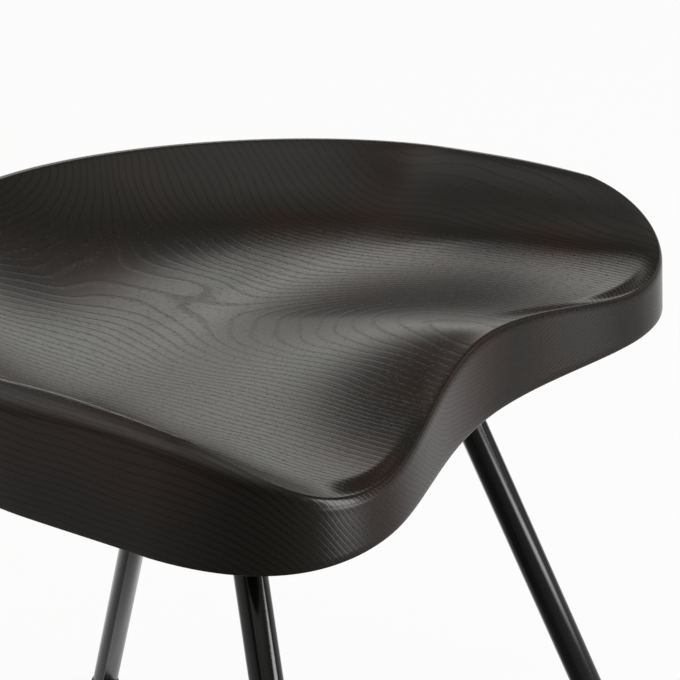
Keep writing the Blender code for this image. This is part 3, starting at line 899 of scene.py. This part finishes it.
zinc, tree, zinc_shader = new_finish(
    "zinc_plated_steel", ZINC_COLOUR, ZINC_ROUGHNESS, ZINC_METALLIC,
)
spangle = noise(tree, place_on(tree), SPANGLE_SCALE, detail=4.0, roughness=0.6).outputs["Fac"]
roughness = between(tree, spangle, ZINC_SMOOTHEST, ZINC_ROUGHEST)
join(tree, roughness, zinc_shader.inputs["Roughness"])
join(tree, mixed(tree, spangle, ZINC_DARK, ZINC_PALE), zinc_shader.inputs["Base Color"])
print("zinc ready")

# %% [markdown]
# ## Plates and welds
#
# A plate is a turned disc with eased edges and three countersunk holes. The leg meets its lower face,
# and a bead of weld runs round the joint. A real bead is laid in small puddles that overlap like
# coins, so its ring is turned from a quarter section and then swells and shrinks along the way round.

# %% Turn the plates
SCREW_RADIUS, HEAD_RADIUS, HEAD_HEIGHT = 3 * MM, 5.75 * MM, 3.2 * MM
PLATE_EDGE, PLATE_EDGE_STEPS = 0.5 * MM, 3
COUNTERSINK_SIDES = 48
MERGE_DISTANCE = 0.001 * MM


def turned(profile, place, sides):
    """A bmesh turned at a place from pairs of a radius and a height over the underside."""
    bm = bmesh.new()
    verts = [bm.verts.new((radius, 0.0, height)) for radius, height in profile]
    edges = [bm.edges.new(pair) for pair in zip(verts, verts[1:])]
    bmesh.ops.spin(
        bm, geom=verts + edges, cent=(0, 0, 0), axis=(0, 0, 1),
        angle=2 * math.pi, steps=sides, use_merge=True,
    )
    bmesh.ops.remove_doubles(bm, verts=bm.verts, dist=MERGE_DISTANCE)
    bmesh.ops.translate(bm, verts=bm.verts, vec=(place.x, place.y, UNDERSIDE))
    return bm


def countersink(place):
    """A tool for a screw's clearance hole with its sunk seat for the head."""
    hole, head = SCREW_RADIUS + FIT, HEAD_RADIUS + FIT
    above = PLATE_THICKNESS + TOOL_OVERRUN
    profile = (
        (0, above), (hole, above), (hole, HEAD_HEIGHT), (head, 0),
        (head, -TOOL_OVERRUN), (0, -TOOL_OVERRUN),
    )
    bm = turned(profile, place, COUNTERSINK_SIDES)
    bmesh.ops.recalc_face_normals(bm, faces=bm.faces)
    return new_object("countersink", bm)


def plate_disc(corner):
    """A disc over the leg's top, with its two rims eased and its screw holes cut."""
    top = leg_line(corner)[0]
    bm = rod(top, PLATE_RADIUS, UNDERSIDE, UNDERSIDE + PLATE_THICKNESS, PLATE_SIDES)
    rims = [e for e in bm.edges if any(len(f.verts) > 4 for f in e.link_faces)]
    bmesh.ops.bevel(
        bm, geom=rims, offset=PLATE_EDGE, segments=PLATE_EDGE_STEPS, profile=0.5,
        affect="EDGES", material=-1,
    )
    disc = new_piece(f"plate_disc_{corner}", bm, zinc)
    cut_with(disc, [countersink(place) for place in screw_places(corner)])
    return disc


for corner in CORNERS:
    disc = plate_disc(corner)
    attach(disc, "root")
    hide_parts(f"plate_{corner}")
print("plate faces:", len(disc.data.polygons))

# %% Lay the weld beads
WELD_WIDTH, WELD_HEIGHT, WELD_RINGS = 4 * MM, 4 * MM, 8
# A power of 1 would make the bead's section a quarter round, and 2 a straight slope
WELD_POWER = 1.3
WELD_PUDDLES, SIDES_PER_PUDDLE = 26, 8
PUDDLE_DIP, PUDDLE_POWER = 0.5 * MM, 0.6
WELD_SHARP_ANGLE = 60


def weld_bead(corner):
    """A rounded ring between the plate's face and the tube, with the puddles' ripples on its skin."""
    space = LEG_RADIUS + FIT
    sides = WELD_PUDDLES * SIDES_PER_PUDDLE
    # Each puddle is full in its middle and dips where it meets the next one
    fullness = [
        abs(math.sin(math.pi * side / SIDES_PER_PUDDLE)) ** PUDDLE_POWER for side in range(sides)
    ]
    rings = [ring_on_leg(corner, space, UNDERSIDE, sides)]
    for ring in range(WELD_RINGS + 1):
        turn = math.pi / 2 * ring / WELD_RINGS
        reach = WELD_WIDTH * math.cos(turn) ** WELD_POWER
        height = UNDERSIDE - WELD_HEIGHT * math.sin(turn) ** WELD_POWER
        full = ring_on_leg(corner, space + reach, height, sides)
        dipped = ring_on_leg(corner, space + max(reach - PUDDLE_DIP, 0), height, sides)
        rings.append([low.lerp(high, share) for low, high, share in zip(dipped, full, fullness)])
    return new_piece(f"weld_{corner}", joined_skin(rings), zinc, WELD_SHARP_ANGLE)


for corner in CORNERS:
    bead = weld_bead(corner)
    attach(bead, "root")
    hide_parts(f"plate_{corner}")
print("weld faces:", len(bead.data.polygons))

# %% [markdown]
# ## Screws and inserts
#
# Twelve countersunk screws with a hexagon socket hold the plates. Each is turned from one profile,
# and its socket is cut out. The inserts can't be seen once the plates are on, so their CAD solids
# stay and only take the plating.

# %% Make the screws
SCREW_LENGTH, SOCKET_WIDTH, SOCKET_DEPTH = 12 * MM, 4 * MM, 2.2 * MM
SCREW_TIP, HEAD_CHAMFER, HEAD_EDGE = 0.5 * MM, 0.15 * MM, 0.35 * MM
SCREW_SIDES, SOCKET_SIDES, SCREW_SHARP_ANGLE = 36, 6, 30


def screw_at(name, place):
    profile = (
        (0, SCREW_LENGTH), (SCREW_RADIUS - SCREW_TIP, SCREW_LENGTH),
        (SCREW_RADIUS, SCREW_LENGTH - SCREW_TIP), (SCREW_RADIUS, HEAD_HEIGHT),
        (HEAD_RADIUS, FIT + HEAD_EDGE), (HEAD_RADIUS, FIT + HEAD_CHAMFER),
        (HEAD_RADIUS - HEAD_CHAMFER, FIT), (0, FIT),
    )
    made = new_piece(name, turned(profile, place, SCREW_SIDES), zinc)
    low, high = UNDERSIDE - TOOL_OVERRUN, UNDERSIDE + FIT + SOCKET_DEPTH
    socket = rod(place, SOCKET_WIDTH / math.sqrt(3), low, high, SOCKET_SIDES)
    cut_with(made, [new_object("socket", socket)], SCREW_SHARP_ANGLE)
    return made


for corner in CORNERS:
    for index, screw_place in enumerate(screw_places(corner), 1):
        made = screw_at(f"socket_screw_{corner}_{index}", screw_place)
        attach(made, "root")
        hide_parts(f"screw_{corner}_{index}")
print("screw faces:", len(made.data.polygons))

# %% Plate the inserts
inserts = [o for o in bpy.data.objects if o.name.startswith("insert_")]
for insert in inserts:
    for slot in insert.material_slots:
        slot.material = zinc
print("inserts:", len(inserts))

# %% [markdown]
# ## Foot glides
#
# A black nylon foot plugs each tube. It follows the leg's slant but is cut level where it meets the
# floor, and its edges are moulded round. Nylon scuffs to a duller, greyer black.

# %% Mould the glides
NYLON_COLOUR, NYLON_ROUGHNESS = (0.018, 0.018, 0.018), 0.5
NYLON_SMOOTHEST, NYLON_ROUGHEST = 0.42, 0.66
SCUFF_SCALE, SCUFF_STRENGTH, SCUFF_DEPTH = 700.0, 0.25, 0.1 * MM
GLIDE_RADIUS, STEM_LENGTH, STEM_CHAMFER = 10 * MM, 22 * MM, 1 * MM
GLIDE_ROUND, GLIDE_ROUND_STEPS = 1.2 * MM, 4

nylon, tree, nylon_shader = new_finish("black_nylon", NYLON_COLOUR, NYLON_ROUGHNESS)
scuffs = noise(tree, place_on(tree), SCUFF_SCALE, detail=5.0, roughness=0.65).outputs["Fac"]
roughness = between(tree, scuffs, NYLON_SMOOTHEST, NYLON_ROUGHEST)
join(tree, roughness, nylon_shader.inputs["Roughness"])
ripple(tree, nylon_shader, scuffs, SCUFF_STRENGTH, SCUFF_DEPTH)


def glide_foot(corner):
    """A foot with a round on its shoulder and at the floor, and a stem up the bore."""
    stem = LEG_RADIUS - LEG_WALL - FIT
    stem_top = GLIDE_HEIGHT + STEM_LENGTH * -leg_line(corner)[1].z
    rings = [
        (stem - STEM_CHAMFER, stem_top), (stem, stem_top - STEM_CHAMFER), (stem, GLIDE_HEIGHT),
    ]
    turns = [math.pi / 2 * step / GLIDE_ROUND_STEPS for step in range(GLIDE_ROUND_STEPS + 1)]
    for turn in turns:
        inset = GLIDE_ROUND * (1 - math.sin(turn))
        rings.append((GLIDE_RADIUS - inset, GLIDE_HEIGHT - GLIDE_ROUND * (1 - math.cos(turn))))
    for turn in turns:
        inset = GLIDE_ROUND * (1 - math.cos(turn))
        rings.append((GLIDE_RADIUS - inset, GLIDE_ROUND * (1 - math.sin(turn))))
    bm, first, last = skin_through([ring_on_leg(corner, *ring) for ring in rings])
    bm.faces.new(first)
    bm.faces.new(last)
    return new_piece(f"glide_foot_{corner}", bm, nylon)


for corner in CORNERS:
    foot = glide_foot(corner)
    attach(foot, "root")
    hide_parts(f"glide_{corner}")
print("glide faces:", len(foot.data.polygons))
